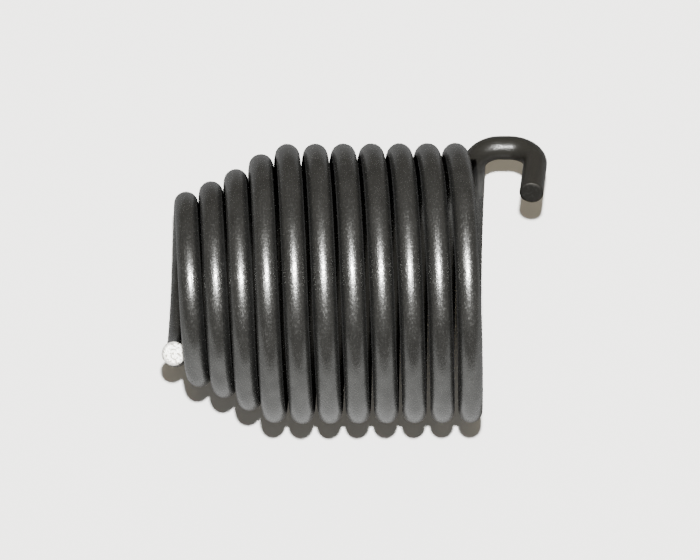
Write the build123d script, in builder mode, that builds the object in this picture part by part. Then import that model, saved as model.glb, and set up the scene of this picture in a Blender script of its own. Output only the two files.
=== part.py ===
"""Chisel retainer spring: one length of round spring wire.

The straight body screws onto the threaded barrel of an air hammer.  The nose draws in like a
beehive until it stops the collar of a chisel, and the free end of the wire is bent into a hook
that a finger can turn.

Frame: the coil axis is X.  The origin is on that axis, where the last body coil ends and the
hook begins.  The nose points along -X and the hook stands beyond +X.  Z is up, with the spring
lying on its side, and clock angles go round X from +Y towards +Z.
"""
import os
from math import cos, pi, radians, sin

from build123d import *

# Wire
wire_diameter = 3.6
cut_edge_break = 0.25  # the burr taken off both cut ends

# Body: the straight coils, wound to the pitch of the barrel's thread
body_diameter = 42.0  # outside
body_pitch = 4.2
body_turns = 7.3

# The last stretch of the body is pressed back against the coil before it
closing_turns = 0.3
closing_shift = 0.5

# Nose: the coils that draw in to hold the chisel
nose_diameter = 28.6  # outside, where the wire starts to curl in to its end
nose_pitch = 3.75
nose_turns = 3.57
nose_waist = 0.25  # how far the nose's side is hollowed, 0 for a straight cone
nose_runout = 0.38  # how far the nose was wound off the body's axis
nose_runout_clock = 186.0

# Tail: the curl that closes the nose, and the straight stub that the shears leave
tail_turns = 0.5
tail_pitch = 3.4
tail_inset = 1.6
stub_length = 4.0

# Hook: out along the tangent, over to the side and back, with its leg turned in towards the axis
hook_clock = -38.5
hook_reach = 5.8
hook_width = 9.0  # between the centres of its two legs
hook_bend_radius = 3.85
hook_bend_angle = 97.5
hook_twist = 82.5
hook_leg = 7.2

arcs_per_turn = 12

coil_radius = (body_diameter - wire_diameter) / 2
nose_drop = (body_diameter - nose_diameter) / 2
coil_turns = body_turns + nose_turns + tail_turns


def coil_radius_at(turns):
    """Radius of the wire's centre line, counted in turns back from the hook."""
    nose_share = max(0, turns - body_turns) / nose_turns
    tail_share = max(0, turns - body_turns - nose_turns) / tail_turns
    nose_in = nose_drop * nose_share * (1 + nose_waist * (1 - nose_share))
    return coil_radius - nose_in - tail_inset * tail_share**2


def coil_x_at(turns):
    """Distance of the wire's centre line along the axis, counted in turns back from the hook."""
    in_body = min(turns, body_turns)
    in_nose = min(turns - in_body, nose_turns)
    in_tail = turns - in_body - in_nose
    closing = closing_shift * (1 - max(0, 1 - turns / closing_turns) ** 2)
    advance = body_pitch * in_body + nose_pitch * in_nose + tail_pitch * in_tail
    return closing - advance - wire_diameter / 2


def coil_point(turns):
    """Centre of the wire, counted in turns back from the hook."""
    clock = radians(hook_clock) - 2 * pi * turns
    radius = coil_radius_at(turns)
    runout = nose_runout * min(max(0, turns - body_turns), 1)
    off_y = runout * cos(radians(nose_runout_clock))
    off_z = runout * sin(radians(nose_runout_clock))
    return Vector(coil_x_at(turns), radius * cos(clock) + off_y, radius * sin(clock) + off_z)


def coil_direction(turns, step=0.001):
    """Direction of the wire, from the nose towards the hook."""
    return (coil_point(turns - step) - coil_point(turns + step)).normalized()


def bend(start, along, towards, angle):
    """End point and end direction of a bend that leaves start and turns towards the given side."""
    turn = radians(angle)
    side = (towards - along * towards.dot(along)).normalized()
    end = start + (along * sin(turn) + side * (1 - cos(turn))) * hook_bend_radius
    return end, along * cos(turn) + side * sin(turn)


with BuildPart() as retainer_spring:
    with BuildLine() as wire_route:
        steps = round(coil_turns * arcs_per_turn)
        coil_points = [coil_point(coil_turns * (1 - step / steps)) for step in range(steps + 1)]
        tail_direction = coil_direction(coil_turns)
        stub_end = coil_points[0] - tail_direction * stub_length
        Line(stub_end, coil_points[0])
        wire_direction = tail_direction
        for arc_start, arc_end in zip(coil_points, coil_points[1:]):
            coil_arc = TangentArc(arc_start, arc_end, tangent=wire_direction)
            wire_direction = coil_arc % 1

        hook_start = coil_points[-1]
        reach_end = hook_start + wire_direction * hook_reach
        Line(hook_start, reach_end)
        crown_start, crown_direction = bend(reach_end, wire_direction, Vector(1, 0, 0), 90)
        TangentArc(reach_end, crown_start, tangent=wire_direction)
        crown_end = crown_start + crown_direction * (hook_width - 2 * hook_bend_radius)
        Line(crown_start, crown_end)
        leg_side = wire_direction.rotate(Axis.X, hook_twist)
        leg_start, leg_direction = bend(crown_end, crown_direction, leg_side, hook_bend_angle)
        TangentArc(crown_end, leg_start, tangent=crown_direction)
        Line(leg_start, leg_start + leg_direction * hook_leg)
    with BuildSketch(Plane(origin=stub_end, z_dir=tail_direction)) as wire_section:
        Circle(wire_diameter / 2)
    sweep()
    cut_faces = retainer_spring.faces().filter_by(GeomType.PLANE)
    chamfer(cut_faces.edges(), cut_edge_break)

retainer_spring.part.label = "retainer_spring"

route_length = wire_route.wire().length
print("wire length", round(route_length, 1))
print("volume over section times length", round(
    retainer_spring.part.volume / (pi * wire_diameter**2 / 4 * route_length), 4))

os.makedirs("parts", exist_ok=True)
export_step(retainer_spring.part, "parts/retainer_spring.step")
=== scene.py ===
"""Looks of the chisel retainer spring: one coiled wire of oil-tempered steel on white paper.

Every size and place is in metres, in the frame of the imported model: the coil's axis is X, the
nose points along -X, the hook stands beyond +X, and Z is up.  Clock angles go round X from +Y
towards +Z, and turns are counted back from the hook.
"""
from math import cos, pi, radians, sin, tan

import bpy
from bpy.props import (
    FloatProperty, FloatVectorProperty, IntProperty, PointerProperty, StringProperty)
from mathutils import Matrix, Vector


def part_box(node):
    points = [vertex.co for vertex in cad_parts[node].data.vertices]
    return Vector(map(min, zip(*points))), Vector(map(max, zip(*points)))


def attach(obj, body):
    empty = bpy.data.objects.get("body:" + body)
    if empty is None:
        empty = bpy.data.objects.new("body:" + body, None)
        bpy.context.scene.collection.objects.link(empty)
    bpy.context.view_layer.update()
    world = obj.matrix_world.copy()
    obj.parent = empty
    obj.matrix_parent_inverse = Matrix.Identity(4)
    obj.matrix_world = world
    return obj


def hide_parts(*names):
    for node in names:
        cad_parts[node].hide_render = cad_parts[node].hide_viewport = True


bl_info = {
    "name": "Chisel retainer spring",
    "version": (1, 0, 0),
    "blender": (4, 5, 0),
    "location": "View3D > Sidebar > Spring",
    "description": "Dresses the packed retainer spring as drawn, coiled and oil-tempered wire",
    "category": "Object",
}

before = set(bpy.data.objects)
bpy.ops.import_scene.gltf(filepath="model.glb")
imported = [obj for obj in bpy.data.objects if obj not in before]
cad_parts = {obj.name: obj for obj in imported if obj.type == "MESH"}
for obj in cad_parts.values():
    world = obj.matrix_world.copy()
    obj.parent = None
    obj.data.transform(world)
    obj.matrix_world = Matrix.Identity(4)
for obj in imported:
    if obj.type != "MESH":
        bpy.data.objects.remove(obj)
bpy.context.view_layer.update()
NODE = "retainer_spring"
MM = 0.001
LOW_CORNER, HIGH_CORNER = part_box(NODE)
FLOOR_HEIGHT = LOW_CORNER.z

# The materials' places on the wire's mesh
STEEL, SHEARED_END, CUT_END = range(3)
# Rings across each cut end, as shares of its radius
END_RINGS = (0.25, 0.5, 0.75, 1.0)
# Sockets of the colour mix node, whose names are shared with its other kinds
MIX_SHARE, MIX_FIRST, MIX_SECOND, MIX_RESULT = 0, 6, 7, 2


class SpringSizes(bpy.types.PropertyGroup):
    """Sizes of the wire and of the coil that it is wound to."""

    wire_diameter: FloatProperty(
        name="Wire diameter", description="Across the drawn wire", default=3.6 * MM, unit="LENGTH")
    cut_edge_break: FloatProperty(
        name="Edge break", description="Rounding of both cut ends", default=0.1 * MM, unit="LENGTH")
    body_diameter: FloatProperty(
        name="Body diameter", description="Outside the straight coils", default=42.0 * MM,
        unit="LENGTH")
    body_pitch: FloatProperty(
        name="Body pitch", description="From one straight coil to the next", default=4.2 * MM,
        unit="LENGTH")
    body_turns: FloatProperty(
        name="Body turns", description="Turns that stay straight", default=7.3)
    closing_turns: FloatProperty(
        name="Closing turns", description="Turns pressed back at the hook", default=0.3)
    closing_shift: FloatProperty(
        name="Closing shift", description="How far the last coil is pressed back",
        default=0.5 * MM, unit="LENGTH")
    nose_diameter: FloatProperty(
        name="Nose diameter", description="Outside the smallest full coil", default=28.6 * MM,
        unit="LENGTH")
    nose_pitch: FloatProperty(
        name="Nose pitch", description="From one narrowing coil to the next", default=3.75 * MM,
        unit="LENGTH")
    nose_turns: FloatProperty(
        name="Nose turns", description="Turns that draw in", default=3.57)
    nose_waist: FloatProperty(
        name="Nose waist", description="How far the side of the nose is hollowed", default=0.25)
    nose_runout: FloatProperty(
        name="Nose runout", description="How far the nose is off the body's axis",
        default=0.38 * MM, unit="LENGTH")
    nose_runout_clock: FloatProperty(
        name="Runout clock", description="Clock angle of the runout", default=radians(186),
        subtype="ANGLE")
    tail_turns: FloatProperty(
        name="Tail turns", description="The curl that closes the nose", default=0.5)
    tail_pitch: FloatProperty(
        name="Tail pitch", description="Advance of the curl for a turn", default=3.4 * MM,
        unit="LENGTH")
    tail_inset: FloatProperty(
        name="Tail inset", description="How far the curl draws in", default=1.6 * MM, unit="LENGTH")
    stub_length: FloatProperty(
        name="Stub length", description="Straight stub at the sheared end", default=4.0 * MM,
        unit="LENGTH")
    hook_clock: FloatProperty(
        name="Hook clock", description="Clock angle where the hook leaves the coil",
        default=radians(-38.5), subtype="ANGLE")
    hook_reach: FloatProperty(
        name="Hook reach", description="Straight run before the crown", default=5.8 * MM,
        unit="LENGTH")
    hook_width: FloatProperty(
        name="Hook width", description="Between the centres of its legs", default=9.0 * MM,
        unit="LENGTH")
    hook_bend_radius: FloatProperty(
        name="Hook bend radius", description="Of both bends, at the wire's centre",
        default=3.85 * MM, unit="LENGTH")
    hook_bend_angle: FloatProperty(
        name="Hook bend", description="Turn of the second bend", default=radians(97.5),
        subtype="ANGLE")
    hook_twist: FloatProperty(
        name="Hook twist", description="How far the leg is turned in about the axis",
        default=radians(82.5), subtype="ANGLE")
    hook_leg: FloatProperty(
        name="Hook leg", description="Straight run to the tip", default=7.2 * MM, unit="LENGTH")
    rings_per_turn: IntProperty(
        name="Rings per turn", description="Rings of the mesh in each turn of the coil", default=96)
    sides: IntProperty(name="Sides", description="Sides of the mesh around the wire", default=40)


class SpringColours(bpy.types.PropertyGroup):
    """Colours of the steel, of what it lies on and of the light, as sRGB hex values."""

    tempered_steel: StringProperty(
        name="Tempered steel", description="Black oxide of the wire", default="#676765")
    worn_steel: StringProperty(
        name="Worn steel", description="Oxide that the die and the coiling have thinned",
        default="#737371")
    hook_scale: StringProperty(
        name="Hook scale", description="Darker, duller oxide on the bent hook", default="#201F1C")
    bare_steel: StringProperty(
        name="Bare steel", description="Fresh sheared end", default="#D8D6D0")
    torn_steel: StringProperty(
        name="Torn steel", description="Pits in the sheared end", default="#6A6658")
    dull_oxide: StringProperty(
        name="Dull oxide", description="Cut end of the hook", default="#3A3936")
    dust: StringProperty(name="Dust", description="Grey specks on the wire", default="#5E5C55")
    paper: StringProperty(name="Paper", description="Sheet under the spring", default="#F2F1EE")
    # Painted shade: colour of the nearly black card that darkens the coil's gaps
    painted_gap_shade: StringProperty(
        name="Black card", description="Card that stops the light", default="#272727")
    room: StringProperty(name="Room", description="Light of the dim room", default="#FFFAF1")
    fill_light: StringProperty(
        name="Fill light", description="Warm light that fills the shadow", default="#FFEABC")


class StageSizes(bpy.types.PropertyGroup):
    """The camera, the lamps and the sheet of paper.

    Each lamp's angle opens upwards in the camera's view, from the line of sight.
    """

    camera_aim: FloatVectorProperty(
        name="Camera aim", description="Where the line of sight meets the spring",
        default=(-20.847 * MM, 0.514 * MM, 0.057 * MM), unit="LENGTH")
    camera_distance: FloatProperty(
        name="Camera distance", description="From the lens to the aim", default=610.65 * MM,
        unit="LENGTH")
    camera_elevation: FloatProperty(
        name="Camera elevation", description="Above the floor", default=radians(83.944),
        subtype="ANGLE")
    camera_turn: FloatProperty(
        name="Camera turn", description="Round from -Y towards -X", default=radians(7.844),
        subtype="ANGLE")
    camera_roll: FloatProperty(
        name="Camera roll", description="About the line of sight", default=radians(7.457),
        subtype="ANGLE")
    focal_length: FloatProperty(
        name="Focal length", description="In millimetres, for the sensor's width", default=209.37)
    sensor_width: FloatProperty(
        name="Sensor width", description="In millimetres", default=36.0)

    lamp_distance: FloatProperty(
        name="Lamp distance", description="From the lamps to the middle of the spring",
        default=0.6, unit="LENGTH")
    lamp_aside: FloatProperty(
        name="Lamp aside", description="How far the small lamps stand to the right",
        default=4 * MM, unit="LENGTH")
    shadow_angle: FloatProperty(
        name="Shadow angle", description="Up to the lamp that casts the shadow",
        default=radians(6.8), subtype="ANGLE")
    shadow_size: FloatProperty(
        name="Shadow lamp", description="Across the lamp that casts the shadow",
        default=14 * MM, unit="LENGTH")
    shadow_power: FloatProperty(
        name="Shadow power", description="Of the lamp that casts the shadow", default=16.0,
        unit="POWER")
    gloss_angle: FloatProperty(
        name="Gloss angle", description="Up to the lamp that shows in the wire",
        default=radians(10.6), subtype="ANGLE")
    gloss_size: FloatProperty(
        name="Gloss lamp", description="Across the lamp that shows in the wire",
        default=22 * MM, unit="LENGTH")
    gloss_power: FloatProperty(
        name="Gloss power", description="Of the lamp that shows in the wire, with its halo",
        default=13.5, unit="POWER")
    halo_size: FloatProperty(
        name="Halo", description="Across the glow round the lamp that shows in the wire",
        default=110 * MM, unit="LENGTH")
    halo_share: FloatProperty(
        name="Halo share", description="Share of the gloss power that the halo has",
        default=0.15, subtype="FACTOR")
    soft_angle: FloatProperty(
        name="Soft angle", description="Up to the broad lamp that shows in the wire",
        default=radians(33), subtype="ANGLE")
    soft_size: FloatProperty(
        name="Soft lamp", description="Across the broad lamp that shows in the wire",
        default=300 * MM, unit="LENGTH")
    soft_power: FloatProperty(
        name="Soft power", description="Of the broad lamp that shows in the wire",
        default=0.095, unit="POWER")
    fill_angle: FloatProperty(
        name="Fill angle", description="Up to the broad lamp that fills the shadow",
        default=radians(50), subtype="ANGLE")
    fill_size: FloatProperty(
        name="Fill lamp", description="Across the broad lamp that fills the shadow",
        default=500 * MM, unit="LENGTH")
    fill_power: FloatProperty(
        name="Fill power", description="Of the broad lamp that fills the shadow",
        default=0.75, unit="POWER")
    room_light: FloatProperty(
        name="Room light", description="Strength of the dim room", default=0.19)

    paper_reach: FloatProperty(
        name="Paper reach", description="From the coil's axis to the edge of the paper",
        default=0.8, unit="LENGTH")
    sheet_tilt: FloatProperty(
        name="Sheet tilt", description="Slope of the paper that the wire mirrors",
        default=radians(12), subtype="ANGLE")
    sheet_far_reach: FloatProperty(
        name="Sheet far reach", description="How far the mirrored paper goes on the far side",
        default=78 * MM, unit="LENGTH")
    # Painted shadow: a strip left out of the glowing sheet along the coil's near side
    sheet_shade: FloatProperty(
        name="Sheet shade", description="Dark strip of the mirrored paper along the coil's near side",
        default=4 * MM, unit="LENGTH")
    sheet_middle: FloatProperty(
        name="Sheet middle", description="Place along the axis that the brightness goes round",
        default=-22 * MM, unit="LENGTH")
    # Painted light: the mirrored sheet's own glow, brightest on the coil's near side and dim on its
    # far side
    sheet_light: FloatProperty(
        name="Sheet light", description="Brightness of the mirrored paper on its near side",
        default=1.02)
    sheet_far_light: FloatProperty(
        name="Sheet far light", description="Brightness of the mirrored paper on its far side",
        default=0.35)
    sheet_gather: FloatProperty(
        name="Sheet gather", description="How closely its brightness gathers on the near side",
        default=2.6)


# ---------------------------------------------------------------------------------------------
# The wire's route


def coil_radius_at(sizes, turns):
    """Radius of the wire's centre line."""
    coil_radius = (sizes.body_diameter - sizes.wire_diameter) / 2
    nose_drop = (sizes.body_diameter - sizes.nose_diameter) / 2
    nose_share = max(0, turns - sizes.body_turns) / sizes.nose_turns
    tail_share = max(0, turns - sizes.body_turns - sizes.nose_turns) / sizes.tail_turns
    nose_in = nose_drop * nose_share * (1 + sizes.nose_waist * (1 - nose_share))
    return coil_radius - nose_in - sizes.tail_inset * tail_share**2


def coil_x_at(sizes, turns):
    """Distance of the wire's centre line along the axis."""
    in_body = min(turns, sizes.body_turns)
    in_nose = min(turns - in_body, sizes.nose_turns)
    in_tail = turns - in_body - in_nose
    closing = sizes.closing_shift * (1 - max(0, 1 - turns / sizes.closing_turns) ** 2)
    advance = sizes.body_pitch * in_body + sizes.nose_pitch * in_nose + sizes.tail_pitch * in_tail
    return closing - advance - sizes.wire_diameter / 2


def coil_point(sizes, turns):
    """Centre of the wire."""
    clock = sizes.hook_clock - 2 * pi * turns
    radius = coil_radius_at(sizes, turns)
    runout = sizes.nose_runout * min(max(0, turns - sizes.body_turns), 1)
    return Vector((
        coil_x_at(sizes, turns),
        radius * cos(clock) + runout * cos(sizes.nose_runout_clock),
        radius * sin(clock) + runout * sin(sizes.nose_runout_clock)))


def coil_direction(sizes, turns, step=0.001):
    """Direction of the wire, from the nose towards the hook."""
    return (coil_point(sizes, turns - step) - coil_point(sizes, turns + step)).normalized()


def bend_points(sizes, start, along, towards, angle, count=16):
    """Points and end direction of a bend that turns towards the given side."""
    side = (towards - along * towards.dot(along)).normalized()
    points = []
    for step in range(1, count + 1):
        turn = angle * step / count
        points.append(start + (along * sin(turn) + side * (1 - cos(turn))) * sizes.hook_bend_radius)
    return points, along * cos(angle) + side * sin(angle)


def run_points(start, direction, length, step=0.5 * MM):
    """Points along a straight run."""
    count = max(1, round(length / step))
    return [start + direction * (length * place / count) for place in range(1, count + 1)]


def hook_length(sizes):
    """Length of the wire from the coil to the hook's tip."""
    bends = sizes.hook_bend_radius * (pi / 2 + sizes.hook_bend_angle)
    crown = sizes.hook_width - 2 * sizes.hook_bend_radius
    return sizes.hook_reach + bends + crown + sizes.hook_leg


def wire_route(sizes):
    """Centre line of the wire from the sheared nose end to the hook's tip."""
    coil_turns = sizes.body_turns + sizes.nose_turns + sizes.tail_turns
    steps = round(coil_turns * sizes.rings_per_turn)
    coil = [coil_point(sizes, coil_turns * (1 - step / steps)) for step in range(steps + 1)]
    tail_direction = coil_direction(sizes, coil_turns)
    stub_end = coil[0] - tail_direction * sizes.stub_length
    points = [stub_end] + run_points(stub_end, tail_direction, sizes.stub_length)[:-1] + coil
    along = coil_direction(sizes, 0)
    points += run_points(points[-1], along, sizes.hook_reach)
    bend, across = bend_points(sizes, points[-1], along, Vector((1, 0, 0)), pi / 2)
    points += bend
    crown = sizes.hook_width - 2 * sizes.hook_bend_radius
    points += run_points(points[-1], across, crown)
    leg_side = Matrix.Rotation(sizes.hook_twist, 3, "X") @ along
    bend, leg = bend_points(sizes, points[-1], across, leg_side, sizes.hook_bend_angle)
    points += bend
    points += run_points(points[-1], leg, sizes.hook_leg)
    return points


# ---------------------------------------------------------------------------------------------
# Materials


def linear(hex_colour):
    """Scene-linear colour of an sRGB hex value."""
    colour = []
    for place in (1, 3, 5):
        channel = int(hex_colour[place:place + 2], 16) / 255
        if channel <= 0.04045:
            colour.append(channel / 12.92)
        else:
            colour.append(((channel + 0.055) / 1.055) ** 2.4)
    return colour + [1]


def add_node(tree, kind, settings=None, inputs=None, links=None):
    """A node with its settings, its input values and the sockets that feed it."""
    node = tree.nodes.new(kind)
    for name, value in (settings or {}).items():
        setattr(node, name, value)
    for name, value in (inputs or {}).items():
        node.inputs[name].default_value = value
    for name, socket in (links or {}).items():
        tree.links.new(socket, node.inputs[name])
    return node


def new_material(name):
    """An empty material with its output node."""
    material = bpy.data.materials.new(name)
    material.use_nodes = True
    material.node_tree.nodes.clear()
    return material, material.node_tree, material.node_tree.nodes.new("ShaderNodeOutputMaterial")


def oil_tempered_steel(colours, hook_run):
    """Drawn spring wire, oil-tempered: a thin black oxide over hard, smooth steel.

    The die leaves fine lines along the wire, and quenching leaves a fine grit of scale.  Both
    break up the edges of a narrow satin highlight.  The oxide is thinner in places, and paler
    there, and a few specks of grey dust cling to the oil.
    """
    material, tree, output = new_material("oil_tempered_steel")
    # Real die lines are some 0.02 mm wide, and real scale is as fine; both are drawn coarser, so
    # that they show
    die_line_width = 0.25 * MM
    grit_width = 0.25 * MM
    worn_patch_width = 2.5 * MM
    dust_spacing = 2 * MM
    wire = add_node(tree, "ShaderNodeAttribute", {"attribute_name": "straight_wire"})
    # A die line is some 25 times as long as it is wide, and a grain of grit not twice as long
    lengthways = add_node(
        tree, "ShaderNodeVectorMath", {"operation": "MULTIPLY"}, {1: (0.04, 1, 1)},
        {0: wire.outputs["Vector"]})
    drawn_out = add_node(
        tree, "ShaderNodeVectorMath", {"operation": "MULTIPLY"}, {1: (0.6, 1, 1)},
        {0: wire.outputs["Vector"]})
    die_lines = add_node(
        tree, "ShaderNodeTexNoise", None, {"Scale": 1 / die_line_width, "Detail": 2.0},
        {"Vector": lengthways.outputs["Vector"]})
    grit = add_node(
        tree, "ShaderNodeTexNoise", None,
        {"Scale": 1 / grit_width, "Detail": 2.0, "Roughness": 0.6},
        {"Vector": drawn_out.outputs["Vector"]})
    die_bump = add_node(
        tree, "ShaderNodeBump", None, {"Strength": 1.0, "Distance": 0.012 * MM},
        {"Height": die_lines.outputs[0]})
    grit_bump = add_node(
        tree, "ShaderNodeBump", None, {"Strength": 1.0, "Distance": 0.036 * MM},
        {"Height": grit.outputs[0], "Normal": die_bump.outputs["Normal"]})
    mottle = add_node(
        tree, "ShaderNodeTexNoise", None, {"Scale": 1 / worn_patch_width, "Detail": 4.0},
        {"Vector": wire.outputs["Vector"]})
    worn = add_node(
        tree, "ShaderNodeMapRange", None,
        {"From Min": 0.35, "From Max": 0.68, "To Min": 0.0, "To Max": 1.0},
        {"Value": mottle.outputs[0]})
    steel = add_node(
        tree, "ShaderNodeMix", {"data_type": "RGBA"},
        {MIX_FIRST: linear(colours.tempered_steel), MIX_SECOND: linear(colours.worn_steel)},
        {MIX_SHARE: worn.outputs[0]})
    # On the bent hook the scale is thicker: darker, duller and hardly metallic
    hook_fade = 6 * MM
    along = add_node(
        tree, "ShaderNodeSeparateXYZ", None, None, {"Vector": wire.outputs["Vector"]})
    hook = add_node(
        tree, "ShaderNodeMapRange", None,
        {"From Min": hook_run, "From Max": hook_run - hook_fade, "To Min": 0.0, "To Max": 1.0},
        {"Value": along.outputs["X"]})
    scaled = add_node(
        tree, "ShaderNodeMix", {"data_type": "RGBA"}, {MIX_SECOND: linear(colours.hook_scale)},
        {MIX_SHARE: hook.outputs[0], MIX_FIRST: steel.outputs[MIX_RESULT]})
    oxide_metal = add_node(
        tree, "ShaderNodeMapRange", None,
        {"From Min": 0.0, "From Max": 1.0, "To Min": 0.965, "To Max": 0.25},
        {"Value": hook.outputs[0]})
    satin = add_node(
        tree, "ShaderNodeMapRange", None,
        {"From Min": 0.0, "From Max": 1.0, "To Min": 0.27, "To Max": 0.32},
        {"Value": hook.outputs[0]})
    gritty = add_node(
        tree, "ShaderNodeMapRange", None,
        {"From Min": 0.5, "From Max": 0.75, "To Max": 0.45},
        {"Value": grit.outputs[0], "To Min": satin.outputs[0]})
    specks = add_node(
        tree, "ShaderNodeTexVoronoi", None, {"Scale": 1 / dust_spacing},
        {"Vector": wire.outputs["Vector"]})
    dust = add_node(
        tree, "ShaderNodeMapRange", None,
        {"From Min": 0.05, "From Max": 0.02, "To Min": 0.0, "To Max": 0.06},
        {"Value": specks.outputs["Distance"]})
    dusted = add_node(
        tree, "ShaderNodeMix", {"data_type": "RGBA"}, {MIX_SECOND: linear(colours.dust)},
        {MIX_SHARE: dust.outputs[0], MIX_FIRST: scaled.outputs[MIX_RESULT]})
    metal = add_node(
        tree, "ShaderNodeMath", {"operation": "SUBTRACT"}, None,
        {0: oxide_metal.outputs[0], 1: dust.outputs[0]})
    tangent = add_node(
        tree, "ShaderNodeTangent", {"direction_type": "UV_MAP", "uv_map": "round_wire"})
    shader = add_node(
        tree, "ShaderNodeBsdfPrincipled", None, {"Anisotropic": 0.1},
        {"Base Color": dusted.outputs[MIX_RESULT], "Metallic": metal.outputs[0],
         "Roughness": gritty.outputs[0], "Normal": grit_bump.outputs["Normal"],
         "Tangent": tangent.outputs["Tangent"]})
    tree.links.new(shader.outputs["BSDF"], output.inputs["Surface"])
    return material


def sheared_steel(colours):
    """Spring steel, sheared off: bare, bright and torn into grains, so that it scatters the light."""
    material, tree, output = new_material("sheared_steel")
    wire = add_node(tree, "ShaderNodeAttribute", {"attribute_name": "straight_wire"})
    grain = add_node(
        tree, "ShaderNodeTexNoise", None, {"Scale": 1 / (0.35 * MM), "Detail": 3.0},
        {"Vector": wire.outputs["Vector"]})
    pits = add_node(
        tree, "ShaderNodeMapRange", None,
        {"From Min": 0.54, "From Max": 0.6, "To Min": 0.0, "To Max": 0.9},
        {"Value": grain.outputs[0]})
    colour = add_node(
        tree, "ShaderNodeMix", {"data_type": "RGBA"},
        {MIX_FIRST: linear(colours.bare_steel), MIX_SECOND: linear(colours.torn_steel)},
        {MIX_SHARE: pits.outputs[0]})
    bump = add_node(
        tree, "ShaderNodeBump", None, {"Strength": 0.8, "Distance": 0.08 * MM},
        {"Height": grain.outputs[0]})
    shader = add_node(
        tree, "ShaderNodeBsdfPrincipled", None, {"Metallic": 0.6, "Roughness": 0.5},
        {"Base Color": colour.outputs[MIX_RESULT], "Normal": bump.outputs["Normal"]})
    tree.links.new(shader.outputs["BSDF"], output.inputs["Surface"])
    return material


def oxidised_cut(colours):
    """The hook's cut end, oil-tempered after it was cut: the same oxide over a rough, dull face."""
    material, tree, output = new_material("oxidised_cut")
    wire = add_node(tree, "ShaderNodeAttribute", {"attribute_name": "straight_wire"})
    grain = add_node(
        tree, "ShaderNodeTexNoise", None, {"Scale": 1 / (0.4 * MM), "Detail": 3.0},
        {"Vector": wire.outputs["Vector"]})
    worn = add_node(
        tree, "ShaderNodeMapRange", None,
        {"From Min": 0.5, "From Max": 0.9, "To Min": 0.0, "To Max": 0.4},
        {"Value": grain.outputs[0]})
    colour = add_node(
        tree, "ShaderNodeMix", {"data_type": "RGBA"},
        {MIX_FIRST: linear(colours.dull_oxide), MIX_SECOND: linear(colours.tempered_steel)},
        {MIX_SHARE: worn.outputs[0]})
    bump = add_node(
        tree, "ShaderNodeBump", None, {"Strength": 0.6, "Distance": 0.05 * MM},
        {"Height": grain.outputs[0]})
    shader = add_node(
        tree, "ShaderNodeBsdfPrincipled", None, {"Metallic": 0.97, "Roughness": 0.6},
        {"Base Color": colour.outputs[MIX_RESULT], "Normal": bump.outputs["Normal"]})
    tree.links.new(shader.outputs["BSDF"], output.inputs["Surface"])
    return material


def matt_paper(colours):
    """White copy paper, pressed from short fibres: matt, with a faint mottle."""
    material, tree, output = new_material("matt_paper")
    place = add_node(tree, "ShaderNodeTexCoord")
    fibres = add_node(
        tree, "ShaderNodeTexNoise", None, {"Scale": 1 / (0.5 * MM), "Detail": 3.0},
        {"Vector": place.outputs["Object"]})
    bump = add_node(
        tree, "ShaderNodeBump", None, {"Strength": 0.15, "Distance": 0.02 * MM},
        {"Height": fibres.outputs[0]})
    shader = add_node(
        tree, "ShaderNodeBsdfPrincipled", None,
        {"Base Color": linear(colours.paper), "Roughness": 0.9, "Specular IOR Level": 0.2},
        {"Normal": bump.outputs["Normal"]})
    tree.links.new(shader.outputs["BSDF"], output.inputs["Surface"])
    return material


def painted_paper_glow(stage):
    """Painted light of the lit paper, as the wire mirrors it: it glows white, brightest on its near
    side.
    """
    material, tree, output = new_material("painted_paper_glow")
    place = add_node(tree, "ShaderNodeNewGeometry")
    outwards = add_node(
        tree, "ShaderNodeVectorMath", {"operation": "ADD"}, {1: (-stage.sheet_middle, 0, 0)},
        {0: place.outputs["Position"]})
    level = add_node(
        tree, "ShaderNodeVectorMath", {"operation": "MULTIPLY"}, {1: (1, 1, 0)},
        {0: outwards.outputs["Vector"]})
    direction = add_node(
        tree, "ShaderNodeVectorMath", {"operation": "NORMALIZE"}, None,
        {0: level.outputs["Vector"]})
    nearness = add_node(
        tree, "ShaderNodeVectorMath", {"operation": "DOT_PRODUCT"}, {1: (0, -1, 0)},
        {0: direction.outputs["Vector"]})
    # From 0 on the far side to 1 on the near side
    share = add_node(
        tree, "ShaderNodeMath", {"operation": "MULTIPLY_ADD"}, {1: 0.5, 2: 0.5},
        {0: nearness.outputs["Value"]})
    gathered = add_node(
        tree, "ShaderNodeMath", {"operation": "POWER"}, {1: stage.sheet_gather},
        {0: share.outputs[0]})
    light = add_node(
        tree, "ShaderNodeMapRange", None,
        {"From Min": 0.0, "From Max": 1.0, "To Min": stage.sheet_far_light,
         "To Max": stage.sheet_light},
        {"Value": gathered.outputs[0]})
    # Painted light: the sheet emits this glow itself, and no lamp lights it
    glow = add_node(
        tree, "ShaderNodeEmission", None, {"Color": (1, 1, 1, 1)},
        {"Strength": light.outputs[0]})
    tree.links.new(glow.outputs["Emission"], output.inputs["Surface"])
    return material


def painted_gap_shade(colours):
    """Painted shade: a nearly black matt card, so that no lamp shines back from between the coils."""
    material, tree, output = new_material("painted_gap_shade")
    shader = add_node(
        tree, "ShaderNodeBsdfPrincipled", None,
        {"Base Color": linear(colours.painted_gap_shade), "Roughness": 1.0, "Specular IOR Level": 0.0})
    tree.links.new(shader.outputs["BSDF"], output.inputs["Surface"])
    return material


# ---------------------------------------------------------------------------------------------
# The wire's mesh


def wire_frames(route):
    """Direction, sideways direction and run of the wire at each point of its route.

    The sideways direction is carried along without turning about the wire, so that the mesh has
    no twist.
    """
    last = len(route) - 1
    directions = [
        (route[min(place + 1, last)] - route[max(place - 1, 0)]).normalized()
        for place in range(last + 1)]
    side = directions[0].orthogonal().normalized()
    run = 0.0
    frames = [(directions[0], side, run)]
    for place in range(1, last + 1):
        along = directions[place]
        side = directions[place - 1].rotation_difference(along) @ side
        side = (side - along * side.dot(along)).normalized()
        run += (route[place] - route[place - 1]).length
        frames.append((along, side, run))
    return frames


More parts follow.
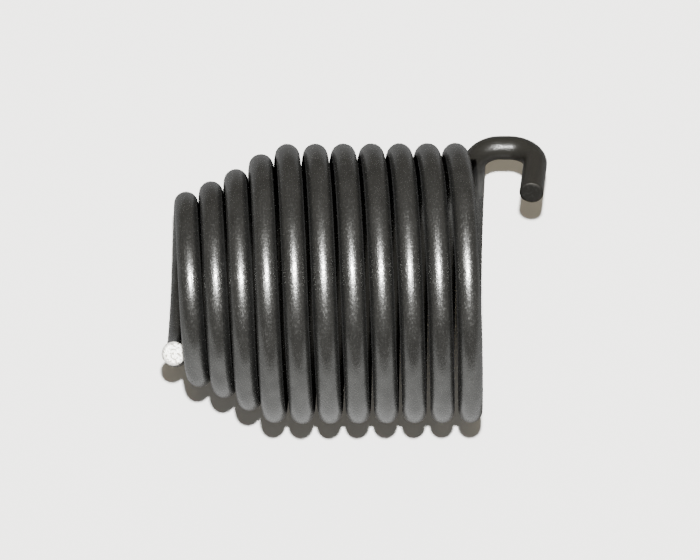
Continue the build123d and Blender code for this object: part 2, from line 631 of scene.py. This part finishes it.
def wire_rings(sizes, route, frames):
    """Place on the route, centre and radius of each ring, from one cut end to the other."""
    radius, edge = sizes.wire_diameter / 2, sizes.cut_edge_break
    centres = list(route)
    centres[0] = route[0] + frames[0][0] * edge
    centres[-1] = route[-1] - frames[-1][0] * edge
    last = len(route) - 1
    end_radii = [(radius - edge) * share for share in END_RINGS]
    first_end = [(0, route[0], end_radius) for end_radius in end_radii]
    wire = [(place, centre, radius) for place, centre in enumerate(centres)]
    last_end = [(last, route[-1], end_radius) for end_radius in reversed(end_radii)]
    return first_end + wire + last_end


def wire_mesh(sizes):
    """The swept wire as a closed mesh.

    Its attribute straight_wire is the place on the wire if it were pulled straight, measured back
    from the hook's tip, and its UV map goes round and along the wire.
    """
    route = wire_route(sizes)
    frames = wire_frames(route)
    rings = wire_rings(sizes, route, frames)
    sides = sizes.sides
    length = frames[-1][2]
    vertices, runs, straight = [], [], []
    for place, centre, radius in rings:
        along, across, run = frames[place]
        up = along.cross(across)
        for step in range(sides):
            angle = 2 * pi * step / sides
            vertices.append(centre + (across * cos(angle) + up * sin(angle)) * radius)
            runs.append(run)
            straight += [length - run, radius * cos(angle), radius * sin(angle)]

    faces, slots, turns = [], [], []
    joined = len(rings) - 1
    for number in range(joined):
        if number < len(END_RINGS):
            slot = SHEARED_END
        elif number >= joined - len(END_RINGS):
            slot = CUT_END
        else:
            slot = STEEL
        near, far = number * sides, (number + 1) * sides
        for step in range(sides):
            following = (step + 1) % sides
            faces.append((near + step, near + following, far + following, far + step))
            slots.append(slot)
            turn, next_turn = step / sides, (step + 1) / sides
            turns.append((turn, next_turn, next_turn, turn))
    last_ring = joined * sides
    faces.append(tuple(reversed(range(sides))))
    faces.append(tuple(range(last_ring, last_ring + sides)))
    slots += [SHEARED_END, CUT_END]
    turns += [(0.0,) * sides] * 2

    mesh = bpy.data.meshes.new("spring_wire")
    mesh.from_pydata([tuple(vertex) for vertex in vertices], [], faces)
    mesh.polygons.foreach_set("material_index", slots)
    mesh.polygons.foreach_set("use_smooth", [True] * len(faces))
    attribute = mesh.attributes.new("straight_wire", "FLOAT_VECTOR", "POINT")
    attribute.data.foreach_set("vector", straight)
    uv = mesh.uv_layers.new(name="round_wire")
    corners = []
    for face, face_turns in zip(faces, turns):
        for vertex, turn in zip(face, face_turns):
            corners += [turn, runs[vertex]]
    uv.data.foreach_set("uv", corners)
    mesh.update()
    return mesh


# ---------------------------------------------------------------------------------------------
# The stage


def camera_axes(stage):
    """Right, up and back of the camera."""
    elevation, turn = stage.camera_elevation, stage.camera_turn
    back = Vector((-sin(turn) * cos(elevation), -cos(turn) * cos(elevation), sin(elevation)))
    right = Vector((0, 0, 1)).cross(back).normalized()
    up = back.cross(right)
    roll = Matrix.Rotation(stage.camera_roll, 3, back)
    return roll @ right, roll @ up, back


def add_stage_mesh(name, points, faces, material, seen_by):
    """A mesh of the stage that only the named kinds of ray meet."""
    mesh = bpy.data.meshes.new(name)
    mesh.from_pydata(points, [], faces)
    mesh.materials.append(material)
    piece = bpy.data.objects.new(name, mesh)
    for kind in ("camera", "diffuse", "glossy", "transmission", "volume_scatter", "shadow"):
        setattr(piece, "visible_" + kind, kind in seen_by)
    bpy.context.scene.collection.objects.link(piece)


def add_floor(stage, colours):
    """The sheet that the spring lies on; the mirrored sheet stands for it in the wire's gloss."""
    reach = stage.paper_reach
    corners = [(-reach, -reach), (reach, -reach), (reach, reach), (-reach, reach)]
    add_stage_mesh(
        "paper_floor", [(x, y, FLOOR_HEIGHT) for x, y in corners], [(0, 1, 2, 3)],
        matt_paper(colours), ("camera", "diffuse", "transmission", "shadow"))


def add_mirrored_sheet(stage, sizes):
    """Glowing lit paper round the spring's shade: painted light and painted shadow, only in the
    wire's gloss.
    """
    side, nose_side = sizes.body_diameter / 2, sizes.nose_diameter / 2
    nose_start = coil_x_at(sizes, sizes.body_turns)
    near_shade = stage.sheet_shade
    # The shade is a hole in the glowing sheet: painted shadow, where the wire mirrors the dim room
    shade = [
        (LOW_CORNER.x, -nose_side - near_shade), (nose_start, -side - near_shade),
        (HIGH_CORNER.x, -side - near_shade),
        (HIGH_CORNER.x, side), (nose_start, side), (LOW_CORNER.x, nose_side)]
    reach, far_reach = stage.paper_reach, stage.sheet_far_reach
    rim = [
        (-reach, -reach), (nose_start, -reach), (reach, -reach),
        (reach, far_reach), (nose_start, far_reach), (-reach, far_reach)]
    # The sheet slopes up towards the near side and touches the coil
    slope = tan(stage.sheet_tilt)
    touch = -side / cos(stage.sheet_tilt)
    points = [(x, y, touch - slope * y) for x, y in shade + rim]
    count = len(shade)
    faces = []
    for place in range(count):
        following = (place + 1) % count
        faces.append((place, following, count + following, count + place))
    add_stage_mesh("mirrored_sheet", points, faces, painted_paper_glow(stage), ("glossy",))


def add_light_stop(sizes, colours, sides=64, steps=60):
    """A thin tube inside the wire that stops the light in the coil's gaps.

    Lamps don't shine in through the gaps, and no highlight shows through them from the inside.
    In the wire's gloss it shows nearly black: painted shade between the coils.
    """
    coil_turns = sizes.body_turns + sizes.nose_turns
    points = []
    for step in range(steps + 1):
        turns = coil_turns * step / steps
        radius, x = coil_radius_at(sizes, turns), coil_x_at(sizes, turns)
        for place in range(sides):
            clock = 2 * pi * place / sides
            points.append((x, radius * cos(clock), radius * sin(clock)))
    faces = []
    for step in range(steps):
        near, far = step * sides, (step + 1) * sides
        for place in range(sides):
            following = (place + 1) % sides
            faces.append((near + place, near + following, far + following, far + place))
    add_stage_mesh("light_stop", points, faces, painted_gap_shade(colours), ("shadow", "glossy"))


def add_camera(stage):
    """The camera, at its place and with its lens."""
    right, up, back = camera_axes(stage)
    data = bpy.data.cameras.new("camera")
    data.lens = stage.focal_length
    data.sensor_width = stage.sensor_width
    data.clip_end = 5.0
    camera = bpy.data.objects.new("camera", data)
    place = Vector(stage.camera_aim) + back * stage.camera_distance
    axes = Matrix((right, up, back)).transposed().to_4x4()
    camera.matrix_world = Matrix.Translation(place) @ axes
    bpy.context.scene.collection.objects.link(camera)
    bpy.context.scene.camera = camera


def add_lamp(stage, name, angle, size, power, ray, aside=0.0, mirrored=True, colour=(1, 1, 1)):
    """A round lamp near the line of sight, which lights only the diffuse or the glossy rays.

    The highlights of a lamp that isn't mirrored don't show again in the neighbouring coils.
    """
    right, up, back = camera_axes(stage)
    middle = Vector(((LOW_CORNER.x + HIGH_CORNER.x) / 2, 0, 0))
    towards = back * cos(angle) + up * sin(angle)
    place = middle + towards * stage.lamp_distance + right * aside
    data = bpy.data.lights.new(name, "AREA")
    data.shape = "DISK"
    data.size = size
    data.energy = power
    data.color = colour
    if not mirrored:
        data.cycles.max_bounces = 0
    lamp = bpy.data.objects.new(name, data)
    facing = (place - middle).to_track_quat("Z", "Y").to_matrix().to_4x4()
    lamp.matrix_world = Matrix.Translation(place) @ facing
    lamp.visible_diffuse = ray == "diffuse"
    lamp.visible_glossy = ray == "glossy"
    bpy.context.scene.collection.objects.link(lamp)


def add_lamps(stage, colours):
    """A small lamp for the shadow, another that shows in the wire, and a broad one for each."""
    aside = stage.lamp_aside
    add_lamp(
        stage, "shadow_lamp", stage.shadow_angle, stage.shadow_size, stage.shadow_power,
        "diffuse", aside)
    # Mirrored by the neighbouring coils, the next two would break up into dots
    halo_power = stage.gloss_power * stage.halo_share
    add_lamp(
        stage, "gloss_lamp", stage.gloss_angle, stage.gloss_size, stage.gloss_power - halo_power,
        "glossy", aside, mirrored=False)
    add_lamp(
        stage, "gloss_lamp_wide", stage.gloss_angle, stage.halo_size, halo_power, "glossy", aside,
        mirrored=False)
    add_lamp(
        stage, "soft_lamp", stage.soft_angle, stage.soft_size, stage.soft_power, "glossy")
    add_lamp(
        stage, "fill_lamp", stage.fill_angle, stage.fill_size, stage.fill_power, "diffuse",
        colour=linear(colours.fill_light)[:3])


def add_room(stage, colours):
    """The dim room round the spring."""
    room = bpy.data.worlds.new("room")
    room.use_nodes = True
    bpy.context.scene.world = room
    background = room.node_tree.nodes["Background"]
    background.inputs["Color"].default_value = linear(colours.room)
    background.inputs["Strength"].default_value = stage.room_light


# ---------------------------------------------------------------------------------------------
# Operators


class SPRING_OT_wire(bpy.types.Operator):
    """Sweep the drawn wire through its coils, its nose and its hook"""

    bl_idname = "spring.wire"
    bl_label = "Coiled wire"

    def execute(self, context):
        scene = context.scene
        sizes = scene.spring_sizes
        mesh = wire_mesh(sizes)
        wire = bpy.data.objects.new("spring_wire", mesh)
        scene.collection.objects.link(wire)
        # In the order of STEEL, SHEARED_END and CUT_END
        mesh.materials.append(oil_tempered_steel(scene.spring_colours, hook_length(sizes)))
        mesh.materials.append(sheared_steel(scene.spring_colours))
        mesh.materials.append(oxidised_cut(scene.spring_colours))
        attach(wire, "root")
        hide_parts(NODE)
        return {"FINISHED"}


class SPRING_OT_stage(bpy.types.Operator):
    """Lay the paper, hang the lamps and set the camera"""

    bl_idname = "spring.stage"
    bl_label = "Stage"

    def execute(self, context):
        scene = context.scene
        stage, sizes, colours = scene.spring_stage, scene.spring_sizes, scene.spring_colours
        add_floor(stage, colours)
        add_mirrored_sheet(stage, sizes)
        add_light_stop(sizes, colours)
        add_camera(stage)
        add_lamps(stage, colours)
        add_room(stage, colours)
        return {"FINISHED"}


class SPRING_PT_panel(bpy.types.Panel):
    """Buttons that build the spring and its stage"""

    bl_idname = "SPRING_PT_panel"
    bl_label = "Chisel retainer spring"
    bl_space_type = "VIEW_3D"
    bl_region_type = "UI"
    bl_category = "Spring"

    def draw(self, context):
        for operator in OPERATORS:
            self.layout.operator(operator.bl_idname)


OPERATORS = (SPRING_OT_wire, SPRING_OT_stage)
GROUPS = (SpringSizes, SpringColours, StageSizes)


def register():
    for kind in GROUPS + OPERATORS + (SPRING_PT_panel,):
        bpy.utils.register_class(kind)
    bpy.types.Scene.spring_sizes = PointerProperty(type=SpringSizes)
    bpy.types.Scene.spring_colours = PointerProperty(type=SpringColours)
    bpy.types.Scene.spring_stage = PointerProperty(type=StageSizes)


def unregister():
    del bpy.types.Scene.spring_stage
    del bpy.types.Scene.spring_colours
    del bpy.types.Scene.spring_sizes
    for kind in reversed(GROUPS + OPERATORS + (SPRING_PT_panel,)):
        bpy.utils.unregister_class(kind)


def main():
    """Build every piece."""
    register()
    bpy.ops.spring.wire()
    bpy.ops.spring.stage()


if __name__ == "__main__":
    main()
